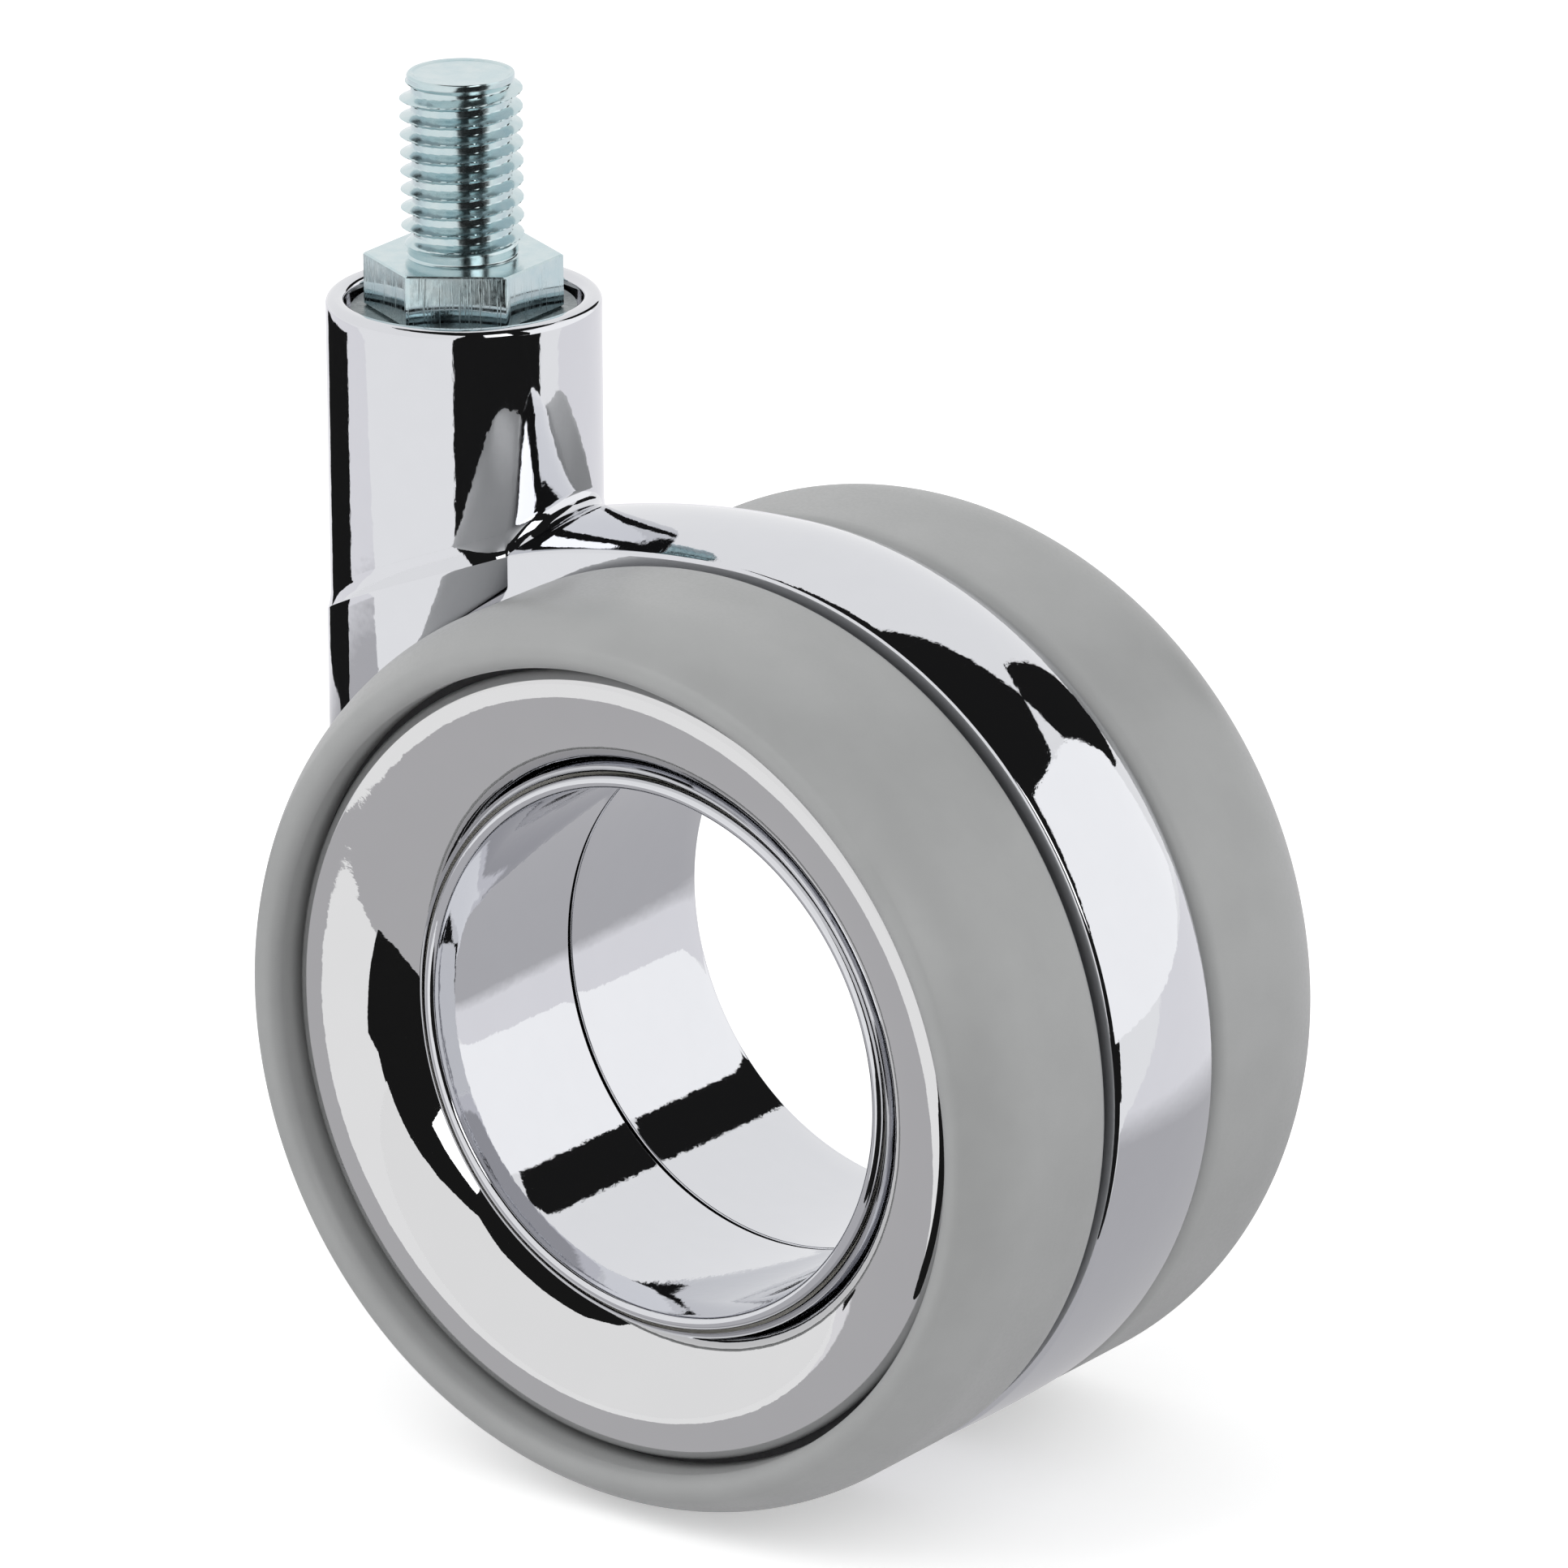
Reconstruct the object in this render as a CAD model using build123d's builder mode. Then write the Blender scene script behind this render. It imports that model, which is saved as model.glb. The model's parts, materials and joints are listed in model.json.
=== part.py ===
from build123d import *
from math import asin, atan2, cos, hypot, pi, radians, sin
import os

os.makedirs("parts", exist_ok=True)

# Frame: origin on the stem's axis at the hexagon's top face, +Z up, wheels turn about Y

# Stem
thread_d = 9.9
thread_len = 15.0
tip_chamfer = 0.7
hex_af = 14.0
hex_h = 4.4
hex_corner = 34.0
hex_bevel = 0.2
shank_d = 8.0
groove_depth = 0.8
shank_tip = 2.0
shank_bevel = 0.5

# Column of the housing
tube_r = 11.1
tube_wall = 1.6
tube_top = -3.3
rim_round = 0.7
column_step = 0.3
ledge_round = 0.15
wing_drop = 10.7

# Wheels: radius, height of their top, reach behind the stem's axis, and depth from tread to bore
wheel_r = 37.5
wheel_top = -18.8
wheel_back = 6.0
wheel_depth = 16.1

# Ring of the housing between the wheels
ring_half = 6.55
ring_round = 0.45
crown_top = 1.95
crown_shift = 1.0
top_arc_r = 80.0
foot_clear = 1.2
foot_shift = 3.7
junction_r = 1.2
pocket_gap = 0.9
pocket_round = 0.7

# Sleeves in the open bore
sleeve_wall = 1.2
seam_chamfer = 0.35
flare_len = 3.1
flare_rise = 0.8
lip_t = 0.8
lip_proud = 1.3
lip_play = 0.4

# Running fit of a wheel on its sleeve and beside the ring
run_gap = 0.1
side_washer_t = 0.5
side_washer_w = 3.8
side_play = 0.3
glide_wall = 1.6
glide_len = 8.95

# Tyre
wheel_gap = 0.65
tyre_wall = 4.5
tread_w = 9.7
shoulder_r = 10.6
shoulder_turn = 38.0
inner_round = 0.6

# Dish
groove_gap = 0.6
lip_gap = 0.6
dish_crest_w = 14.5
dish_edge_r = 1.2
dish_edge_t = 1.9
dish_depth = 4.6
dish_slope = 50.0
dish_foot_t = 0.9
dish_foot_w = 1.1
dish_flange_w = 1.8

# Swivel bearing, 8 x 19 x 6
dust_washer_t = 1.0
dust_boss_t = 0.4
dust_boss_wall = 1.5
dust_gap = 0.4
race_w = 6.0
race_gap = 1.7
ball_r = 1.5
ball_gap = 0.05
ball_count = 7
cage_wall = 1.0
cage_w = 4.4
cage_gap = 0.12
bearing_ledge = 1.6

# Spacer, lower bush and retaining ring on the shank
spacer_len = 8.1
spacer_wall = 1.3
bush_len = 5.0
bush_wall = 1.94
bush_flange_t = 1.2
flange_play = 0.5
shank_gap = 0.06
face_gap = 0.1
circlip_t = 0.9
circlip_play = 0.5
circlip_slot = 3.0
well_clear = 1.5

# How close an edge lies to the surface it is picked by
near = 0.01

# Places of the wheels and the ring
trail = wheel_r - wheel_back
axle_z = wheel_top - wheel_r
wheel_axis = Axis((trail, 0, axle_z), (0, 1, 0))
wheel_centre = (trail, axle_z)
bore_r = wheel_r - wheel_depth
pocket_r = wheel_r + pocket_gap
column_r = tube_r + column_step
foot_z = axle_z - wheel_r + foot_clear
wing_end = axle_z - wing_drop

# Radii in a wheel, from the bore outwards
sleeve_out_r = bore_r + sleeve_wall
flare_r = bore_r + flare_rise
lip_out_r = sleeve_out_r + lip_proud
glide_r = sleeve_out_r + run_gap
core_bore_r = glide_r + glide_wall
dish_in_r = lip_out_r + lip_gap
tyre_seat_r = wheel_r - tyre_wall
dish_out_r = tyre_seat_r - groove_gap

# Places along a wheel's axis, from the ring outwards
tyre_in = ring_half + wheel_gap
glide_in = ring_half + side_washer_t + side_play
glide_out = glide_in + glide_len
lip_back = glide_out + lip_play
flare_end = lip_back + lip_t
flare_start = flare_end - flare_len
tread_end = tyre_in + tread_w
dish_crest = tyre_in + dish_crest_w
dish_flange = dish_crest - dish_edge_t
dish_in_y = dish_crest - dish_depth
dish_foot = dish_in_y - dish_foot_t

# Radii and heights on the stem's axis
mouth_r = tube_r - tube_wall
hollow_r = mouth_r - bearing_ledge
pitch_r = (shank_d / 2 + mouth_r) / 2
race_wall = (mouth_r - shank_d / 2 - race_gap) / 2
bush_r = shank_d / 2 + shank_gap + bush_wall
groove_r = shank_d / 2 - groove_depth
dust_z = -hex_h - dust_washer_t
race_top = dust_z - dust_boss_t
race_end = race_top - race_w
race_z = race_top - race_w / 2
bush_top = race_end - spacer_len - face_gap
circlip_z = bush_top - bush_len - face_gap
shank_z = circlip_z - circlip_t - shank_tip
tube_end = (shank_z + axle_z) / 2


# The housing's ring seen from the side: back line, then top, ring, foot and heel arcs, all tangent
def ring_outline(centre_z, radius):
    foot_z_from_centre = foot_z - centre_z
    foot_r = (radius**2 - foot_shift**2 - foot_z_from_centre**2) / (2 * (foot_z_from_centre + radius))
    foot_x = trail + foot_shift
    start_turn = atan2(foot_z + foot_r - centre_z, foot_shift)
    foot_mid = (start_turn - pi / 2) / 2
    heel_r = foot_x + column_r
    heel_mid = pi * 5 / 4
    top_z = centre_z + radius - top_arc_r
    back_turn = asin((trail + column_r) / top_arc_r)
    foot_start = (trail + radius * cos(start_turn), centre_z + radius * sin(start_turn))
    foot_end = (foot_x, foot_z)
    heel_end = (-column_r, foot_z + heel_r)
    back_top = (-column_r, top_z + top_arc_r * cos(back_turn))
    ring_top = (trail, centre_z + radius)
    top_mid = (trail - top_arc_r * sin(back_turn / 2), top_z + top_arc_r * cos(back_turn / 2))
    foot_point = (foot_x + foot_r * cos(foot_mid), foot_z + foot_r + foot_r * sin(foot_mid))
    heel_point = (foot_x + heel_r * cos(heel_mid), foot_z + heel_r + heel_r * sin(heel_mid))
    with BuildLine() as outline:
        Line(heel_end, back_top)
        ThreePointArc(back_top, top_mid, ring_top)
        ThreePointArc(ring_top, (trail + radius, centre_z), foot_start)
        ThreePointArc(foot_start, foot_point, foot_end)
        ThreePointArc(foot_end, heel_point, heel_end)
    return outline.line


# Every point of the edge lies at this distance from an upright or a wheel axis
def on_round(edge, radius, centre=None):
    points = [edge @ t for t in (0, 0.3, 0.5, 1)]
    if centre:
        return all(abs(hypot(p.X - centre[0], p.Z - centre[1]) - radius) < near for p in points)
    return all(abs(hypot(p.X, p.Y) - radius) < near for p in points)


# An edge of the ring's side faces, apart from the straight ones at the back
def rims_ring(edge):
    flat = edge.bounding_box().size.Y < near and abs(abs(edge.center().Y) - ring_half) < near
    return flat and edge.bounding_box().max.X > 0


# An edge where the front of the ring runs into the wall of the tube
def meets_tube(edge):
    middle = edge @ 0.5
    in_front = middle.X > 0 and abs(middle.Y) > near
    between_ends = tube_top - near > middle.Z > tube_end + near
    return on_round(edge, tube_r) and in_front and between_ends


# A profile of a wheel part, drawn as (radius, y) on the side of the given sign, turned about the axis
def wheel_plane(side):
    return Plane(origin=(trail, 0, axle_z), x_dir=(1, 0, 0), z_dir=(0, 0, side))


edge_line = ring_outline(axle_z, wheel_r)
crown_line = ring_outline(axle_z + crown_shift, wheel_r + crown_top - crown_shift)

# Column under its shoulder line, a little wider than the tube, with wings around the wheel pockets:
# its left half, then the mirror image
with BuildPart() as column:
    with BuildSketch(Plane.XZ.offset(2 * column_r)):
        add(edge_line)
        make_face()
        with Locations(wheel_centre):
            Circle(pocket_r, mode=Mode.SUBTRACT)
    extrude(amount=-4 * column_r)
    with BuildSketch(Plane.XY.offset(wing_end)):
        Circle(column_r)
        Rectangle(2 * column_r, column_r, align=(Align.CENTER, Align.MAX), mode=Mode.INTERSECT)
    extrude(amount=-wing_end, mode=Mode.INTERSECT)
    round_edges = column.edges().filter_by(lambda e: on_round(e, column_r) and (e @ 0.5).Y < -near)
    fillet(round_edges.sort_by(Axis.Z)[-1], ledge_round)
    pocket_edges = column.edges().filter_by(lambda e: on_round(e, pocket_r, wheel_centre))
    fillet(pocket_edges.sort_by(SortBy.LENGTH)[-1], pocket_round)
    mirror(about=Plane.XZ)

# Housing: crowned ring between the wheels, its section highest in the middle
with BuildPart() as housing:
    with BuildSketch(Plane.XZ.offset(ring_half)):
        add(edge_line)
        make_face()
    with BuildSketch(Plane.XZ):
        add(crown_line)
        make_face()
    with BuildSketch(Plane.XZ.offset(-ring_half)):
        add(edge_line)
        make_face()
    loft()
    fillet(housing.edges().filter_by(rims_ring), ring_round)
    # Seen from above, a straight ring leaves a round column
    with BuildSketch():
        Circle(column_r)
        Rectangle(2 * (trail + wheel_r), 4 * ring_half, align=(Align.MIN, Align.CENTER))
    extrude(amount=2 * axle_z, mode=Mode.INTERSECT)
    # Tube, joined to the ring by a round, and cleared where the column has its pockets
    with Locations((0, 0, tube_top)):
        Cylinder(tube_r, tube_top - tube_end, align=(Align.CENTER, Align.CENTER, Align.MAX))
    fillet(housing.edges().filter_by(meets_tube), junction_r)
    for side in (-1, 1):
        with BuildSketch(Plane.XZ.offset(side * ring_half)):
            with Locations(wheel_centre):
                Circle(pocket_r + 2 * pocket_round)
        extrude(amount=side * column_r, mode=Mode.SUBTRACT)
    add(column.part)
    # Open bore for the sleeves
    with BuildSketch(Plane.XZ.offset(2 * ring_half)):
        with Locations(wheel_centre):
            Circle(sleeve_out_r)
    extrude(amount=-4 * ring_half, mode=Mode.SUBTRACT)
    # Seats for the bearing and the bush, and the well under the shank
    for radius, top, bottom in (
        (mouth_r, tube_top, race_end),
        (hollow_r, race_end, bush_top - bush_flange_t),
        (bush_r, bush_top - bush_flange_t, shank_z - well_clear),
    ):
        with Locations((0, 0, top)):
            Cylinder(radius, top - bottom, align=(Align.CENTER, Align.CENTER, Align.MAX), mode=Mode.SUBTRACT)
    fillet(housing.edges().filter_by(lambda e: abs(e.center().Z - tube_top) < near), rim_round)
housing.part.label = "housing"
export_step(housing.part, "parts/housing.step")

# Stem: thread, hexagon collar and shank, turned from one hexagon bar
with BuildPart() as threaded_stem:
    Cylinder(thread_d / 2, thread_len, align=(Align.CENTER, Align.CENTER, Align.MIN))
    chamfer(threaded_stem.edges().group_by(Axis.Z)[-1], tip_chamfer)
    with BuildSketch():
        RegularPolygon(hex_af / 2, 6, major_radius=False, rotation=hex_corner)
    extrude(amount=-hex_h)
    chamfer(threaded_stem.faces().filter_by(Axis.Z).sort_by(Axis.Z)[0].edges(), hex_bevel)
    with Locations((0, 0, -hex_h)):
        Cylinder(shank_d / 2, -hex_h - shank_z, align=(Align.CENTER, Align.CENTER, Align.MAX))
    chamfer(threaded_stem.edges().group_by(Axis.Z)[0], shank_bevel)
    with BuildSketch(Plane.XY.offset(circlip_z)):
        Circle(shank_d / 2)
        Circle(groove_r, mode=Mode.SUBTRACT)
    extrude(amount=-circlip_t, mode=Mode.SUBTRACT)
threaded_stem.part.label = "threaded_stem"
export_step(threaded_stem.part, "parts/threaded_stem.step")

# Washer under the hexagon, its boss standing on the inner race
with BuildPart() as dust_washer:
    with Locations((0, 0, -hex_h)):
        Cylinder(mouth_r - dust_gap, dust_washer_t, align=(Align.CENTER, Align.CENTER, Align.MAX))
    with Locations((0, 0, dust_z)):
        Cylinder(shank_d / 2 + dust_boss_wall, dust_boss_t, align=(Align.CENTER, Align.CENTER, Align.MAX))
    with Locations((0, 0, race_top)):
        Cylinder(shank_d / 2, 2 * hex_h, mode=Mode.SUBTRACT)
dust_washer.part.label = "dust_washer"
export_step(dust_washer.part, "parts/dust_washer.step")

# Races of the ball bearing, each with its groove
for name, inside, outside in (
    ("bearing_inner_race", shank_d / 2, shank_d / 2 + race_wall),
    ("bearing_outer_race", mouth_r - race_wall, mouth_r),
):
    with BuildPart() as race:
        with BuildSketch(Plane.XZ):
            with Locations((inside, race_z)):
                Rectangle(outside - inside, race_w, align=(Align.MIN, Align.CENTER))
            with Locations((pitch_r, race_z)):
                Circle(ball_r + ball_gap, mode=Mode.SUBTRACT)
        revolve(axis=Axis.Z)
    race.part.label = name
    export_step(race.part, f"parts/{name}.step")

# Cage with a pocket for each ball
with BuildPart() as bearing_cage:
    with BuildSketch(Plane.XY.offset(race_z)):
        Circle(pitch_r + cage_wall / 2)
        Circle(pitch_r - cage_wall / 2, mode=Mode.SUBTRACT)
    extrude(amount=cage_w / 2, both=True)
    with Locations((0, 0, race_z)):
        with PolarLocations(pitch_r, ball_count):
            Cylinder(ball_r + cage_gap, 2 * cage_wall, rotation=(0, 90, 0), mode=Mode.SUBTRACT)
bearing_cage.part.label = "bearing_cage"
export_step(bearing_cage.part, "parts/bearing_cage.step")

with BuildPart() as bearing_balls:
    with Locations((0, 0, race_z)):
        with PolarLocations(pitch_r, ball_count):
            Sphere(ball_r)
bearing_balls.part.label = "bearing_balls"
export_step(bearing_balls.part, "parts/bearing_balls.step")

# Spacer between the inner race and the bush
with BuildPart() as spacer_sleeve:
    with BuildSketch(Plane.XY.offset(race_end)):
        Circle(shank_d / 2 + spacer_wall)
        Circle(shank_d / 2, mode=Mode.SUBTRACT)
    extrude(amount=bush_top + face_gap - race_end)
spacer_sleeve.part.label = "spacer_sleeve"
export_step(spacer_sleeve.part, "parts/spacer_sleeve.step")

# Flanged bush that guides the shank's end
with BuildPart() as lower_bush:
    with Locations((0, 0, bush_top)):
        Cylinder(hollow_r - flange_play, bush_flange_t, align=(Align.CENTER, Align.CENTER, Align.MAX))
        Cylinder(bush_r, bush_len, align=(Align.CENTER, Align.CENTER, Align.MAX))
        Cylinder(shank_d / 2 + shank_gap, 4 * bush_len, mode=Mode.SUBTRACT)
lower_bush.part.label = "lower_bush"
export_step(lower_bush.part, "parts/lower_bush.step")

# Open ring that snaps into the shank's groove
with BuildPart() as stem_circlip:
    with BuildSketch(Plane.XY.offset(circlip_z)):
        Circle(bush_r - circlip_play)
        Circle(groove_r, mode=Mode.SUBTRACT)
        Rectangle(2 * bush_r, circlip_slot, align=(Align.MIN, Align.CENTER), mode=Mode.SUBTRACT)
    extrude(amount=-circlip_t)
stem_circlip.part.label = "stem_circlip"
export_step(stem_circlip.part, "parts/stem_circlip.step")

# Wheel parts, drawn once for each side of the ring
for side, name in ((-1, "left"), (1, "right")):

    # Chromed sleeve that lines the bore and carries the wheel, with a flare and a rolled lip
    with BuildPart() as bore_sleeve:
        with BuildSketch(wheel_plane(side)):
            with BuildLine():
                Polyline((bore_r + seam_chamfer, 0), (bore_r, seam_chamfer), (bore_r, flare_start))
                flare = TangentArc((bore_r, flare_start), (flare_r, flare_end), tangent=(0, 1))
                TangentArc((flare_r, flare_end), (lip_out_r, flare_end), tangent=flare % 1)
                Polyline(
                    (lip_out_r, flare_end),
                    (lip_out_r, lip_back),
                    (sleeve_out_r, lip_back),
                    (sleeve_out_r, 0),
                    (bore_r + seam_chamfer, 0),
                )
            make_face()
        revolve(axis=wheel_axis)
    bore_sleeve.part.label = f"bore_sleeve_{name}"
    export_step(bore_sleeve.part, f"parts/bore_sleeve_{name}.step")

    # Thin washer between the ring and the wheel
    with BuildPart() as side_washer:
        with BuildSketch(Plane.XZ.offset(-side * ring_half)):
            with Locations(wheel_centre):
                Circle(glide_r + side_washer_w)
                Circle(glide_r, mode=Mode.SUBTRACT)
        extrude(amount=-side * side_washer_t)
    side_washer.part.label = f"side_washer_{name}"
    export_step(side_washer.part, f"parts/side_washer_{name}.step")

    # Slippery ring pressed into the wheel's core, running on the sleeve
    with BuildPart() as glide_ring:
        with BuildSketch(Plane.XZ.offset(-side * glide_in)):
            with Locations(wheel_centre):
                Circle(core_bore_r)
                Circle(glide_r, mode=Mode.SUBTRACT)
        extrude(amount=-side * (glide_out - glide_in))
    glide_ring.part.label = f"glide_ring_{name}"
    export_step(glide_ring.part, f"parts/glide_ring_{name}.step")

    # Hard core between the glide ring and the tyre
    with BuildPart() as wheel_core:
        with BuildSketch(wheel_plane(side)):
            with BuildLine():
                Polyline(
                    (core_bore_r, glide_in),
                    (tyre_seat_r, glide_in),
                    (tyre_seat_r, dish_flange),
                    (dish_out_r - dish_flange_w, dish_flange),
                    (dish_in_r + dish_foot_w, dish_foot),
                    (core_bore_r, dish_foot),
                    close=True,
                )
            make_face()
        revolve(axis=wheel_axis)
    wheel_core.part.label = f"wheel_core_{name}"
    export_step(wheel_core.part, f"parts/wheel_core_{name}.step")

    # Chromed dish: rounded outer edge, then a funnel towards the bore
    with BuildPart() as rim_dish:
        slope = radians(dish_slope)
        edge_centre = (dish_out_r - dish_edge_r, dish_crest - dish_edge_r)
        over_edge = [
            (edge_centre[0] + dish_edge_r * cos(turn), edge_centre[1] + dish_edge_r * sin(turn))
            for turn in (0, (slope + pi / 2) / 2, slope + pi / 2)
        ]
        with BuildSketch(wheel_plane(side)):
            with BuildLine():
                ThreePointArc(*over_edge)
                TangentArc(over_edge[2], (dish_in_r, dish_in_y), tangent=(-cos(slope), -sin(slope)))
                Polyline(
                    (dish_in_r, dish_in_y),
                    (dish_in_r, dish_foot),
                    (dish_in_r + dish_foot_w, dish_foot),
                    (dish_out_r - dish_flange_w, dish_flange),
                    (dish_out_r, dish_flange),
                    over_edge[0],
                )
            make_face()
        revolve(axis=wheel_axis)
    rim_dish.part.label = f"rim_dish_{name}"
    export_step(rim_dish.part, f"parts/rim_dish_{name}.step")

    # Soft tyre: flat tread, round shoulder and a lip that curls in over the dish's edge
    with BuildPart() as tyre:
        turn = radians(shoulder_turn)
        shoulder = [
            (wheel_r - shoulder_r + shoulder_r * cos(t), tread_end + shoulder_r * sin(t))
            for t in (0, turn / 2, turn)
        ]
        lip_r = (shoulder[2][0] - tyre_seat_r) / (1 + cos(turn))
        lip_y = shoulder[2][1] - lip_r * sin(turn)
        crest = (tyre_seat_r + lip_r, lip_y + lip_r)
        with BuildSketch(wheel_plane(side)):
            with BuildLine():
                Polyline((tyre_seat_r, lip_y), (tyre_seat_r, tyre_in), (wheel_r - inner_round, tyre_in))
                RadiusArc((wheel_r - inner_round, tyre_in), (wheel_r, tyre_in + inner_round), -inner_round)
                Line((wheel_r, tyre_in + inner_round), shoulder[0])
                ThreePointArc(*shoulder)
                ThreePointArc(shoulder[2], crest, (tyre_seat_r, lip_y))
            make_face()
        revolve(axis=wheel_axis)
    tyre.part.label = f"tyre_{name}"
    export_step(tyre.part, f"parts/tyre_{name}.step")
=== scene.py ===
import json

import bmesh
import bpy
import numpy as np
from mathutils import Matrix, Vector


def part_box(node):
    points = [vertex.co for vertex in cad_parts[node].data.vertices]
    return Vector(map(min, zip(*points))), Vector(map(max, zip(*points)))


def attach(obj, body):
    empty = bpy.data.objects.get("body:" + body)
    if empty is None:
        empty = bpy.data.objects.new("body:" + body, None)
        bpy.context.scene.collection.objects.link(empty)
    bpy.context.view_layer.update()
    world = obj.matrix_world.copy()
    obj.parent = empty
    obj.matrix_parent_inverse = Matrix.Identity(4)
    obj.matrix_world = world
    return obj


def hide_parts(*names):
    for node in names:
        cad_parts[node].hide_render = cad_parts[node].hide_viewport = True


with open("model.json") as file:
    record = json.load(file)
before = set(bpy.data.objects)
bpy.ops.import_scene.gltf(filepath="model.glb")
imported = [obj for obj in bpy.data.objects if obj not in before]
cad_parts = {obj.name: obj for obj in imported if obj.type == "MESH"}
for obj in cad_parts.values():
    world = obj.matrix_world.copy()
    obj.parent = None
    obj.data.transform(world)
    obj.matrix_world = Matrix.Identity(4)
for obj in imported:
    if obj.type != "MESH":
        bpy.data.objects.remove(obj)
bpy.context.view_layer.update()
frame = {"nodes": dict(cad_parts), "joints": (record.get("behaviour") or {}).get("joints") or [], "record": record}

print("frame loaded:", len(frame["nodes"]), "nodes")

mm = 0.001
rad = np.pi / 180
samePlace = 1e-5  # mm, closer points of a profile are one point
weldReach = 1e-6  # m, closer corners of a mesh are one corner
thinEdge = 1e-7  # m, shorter edges are dissolved

# The wheels' axis and radius come from the frame, in mm
wheelJoint = next(j for j in frame["joints"] if j["name"] == "wheel_left_turn")
axleX, _, axleZ = (v / mm for v in wheelJoint["pos_m"])
tyreLow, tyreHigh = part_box("tyre_left")
wheelR = (tyreHigh.z - tyreLow.z) / 2 / mm
floorZ = tyreLow.z / mm


# Profiles: rows of (radius, place along the axis) in mm; steps is the number of points of a stretch

def arc(centre, radius, start, end, steps):  # part of a circle, from one angle to another in degrees
    a = np.linspace(start, end, steps) * rad
    return np.stack([centre[0] + radius * np.cos(a), centre[1] + radius * np.sin(a)], 1)


def run(start, end, steps):  # straight line
    return np.linspace(start, end, steps)


def tangentArc(start, end, tangent, steps):  # circle through both ends, first along the tangent
    start, end = np.array(start, float), np.array(end, float)
    across = np.array([-tangent[1], tangent[0]], float) / np.hypot(*tangent)
    chord = end - start
    radius = chord @ chord / (2 * (chord @ across))
    centre = start + radius * across
    a0 = np.arctan2(*(start - centre)[::-1])
    turn = 2 * np.arctan2(chord @ across, chord @ np.array(tangent, float) / np.hypot(*tangent))
    a = a0 + np.linspace(0, turn, steps)
    return np.stack([centre[0] + abs(radius) * np.cos(a), centre[1] + abs(radius) * np.sin(a)], 1)


def joined(*pieces):  # one line from several, without the points that are there twice
    points = np.concatenate([np.atleast_2d(p) for p in pieces])
    keep = np.ones(len(points), bool)
    keep[1:] = np.hypot(*np.diff(points, axis=0).T) > samePlace
    return points[keep]


def ringArea(profile):  # signed area inside a closed profile
    x, y = profile.T
    return 0.5 * np.sum(x * np.roll(y, -1) - np.roll(x, -1) * y)


# Grids: arrays of points, rows x columns x 3, in mm

def aroundAxle(profile, side, steps):
    # x = axle + r cos a, z = axle + r sin a, y = side * place along the axis
    profile = profile * [1, side]
    if ringArea(profile) > 0:
        profile = profile[::-1]
    a = np.linspace(0, 2 * np.pi, steps, endpoint=False)[:, None]
    r, y = profile.T
    return np.stack([axleX + r * np.cos(a), y + 0 * a, axleZ + r * np.sin(a)], -1)


def aroundStem(profile, steps):  # x = r cos a, y = r sin a, z = place along the axis
    if ringArea(profile) < 0:
        profile = profile[::-1]
    a = np.linspace(0, 2 * np.pi, steps, endpoint=False)[:, None]
    r, z = profile.T
    return np.stack([r * np.cos(a), r * np.sin(a), z + 0 * a], -1)


def gridQuads(rows, cols, closeRows, closeCols):  # corner numbers of every quad of a grid
    lastRow, lastCol = rows - (not closeRows), cols - (not closeCols)
    a, b = np.meshgrid(np.arange(lastRow), np.arange(lastCol), indexing="ij")
    a2, b2 = (a + 1) % rows, (b + 1) % cols
    return np.stack([a * cols + b, a2 * cols + b, a2 * cols + b2, a * cols + b2], -1).reshape(-1, 4)


replacedNodes = set()


def addPiece(name, grids, material, body, nodes, sharp=30):
    # grids are rows of (points, whether the rows close, whether the columns close); sharp is in degrees
    points, quads, start = [], [], 0
    for grid, closeRows, closeCols in grids:
        points.append(grid.reshape(-1, 3) * mm)
        quads.append(gridQuads(*grid.shape[:2], closeRows, closeCols) + start)
        start += grid.shape[0] * grid.shape[1]
    mesh = bpy.data.meshes.new(name)
    mesh.from_pydata(np.concatenate(points), [], np.concatenate(quads))
    work = bmesh.new()
    work.from_mesh(mesh)
    bmesh.ops.remove_doubles(work, verts=work.verts, dist=weldReach)
    bmesh.ops.dissolve_degenerate(work, edges=work.edges, dist=thinEdge)
    work.to_mesh(mesh)
    work.free()
    mesh.shade_smooth()
    mesh.set_sharp_from_angle(angle=sharp * rad)
    mesh.materials.append(material)
    piece = bpy.data.objects.new(name, mesh)
    bpy.context.scene.collection.objects.link(piece)
    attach(piece, body)
    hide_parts(*nodes)
    replacedNodes.update(nodes)


# Materials

def linear(code):  # sRGB hex to linear RGBA
    c = np.array([int(code[i:i + 2], 16) for i in (1, 3, 5)]) / 255
    c = np.where(c <= 0.04045, c / 12.92, ((c + 0.055) / 1.055) ** 2.4)
    return (*c, 1)


def addNode(material, kind, settings={}, links={}):  # a node with its values and what feeds its inputs
    node = material.node_tree.nodes.new(kind)
    for key, value in settings.items():
        if isinstance(key, str) and hasattr(node, key):
            setattr(node, key, value)
        else:
            node.inputs[key].default_value = value
    for key, source in links.items():
        material.node_tree.links.new(source, node.inputs[key])
    return node


def newMaterial(name):
    material = bpy.data.materials.new(name)
    material.use_nodes = True
    shader = material.node_tree.nodes["Principled BSDF"]
    return material, shader


def perMetre(sizes):  # how often each size, in mm, goes into a metre
    return tuple(1000 / size for size in sizes)


def placeSpace(material, scale):  # object coordinates, scaled so that one unit is 1 / scale metres
    coords = addNode(material, "ShaderNodeTexCoord")
    return addNode(material, "ShaderNodeMapping", {"Scale": scale}, {"Vector": coords.outputs["Object"]})


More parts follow.
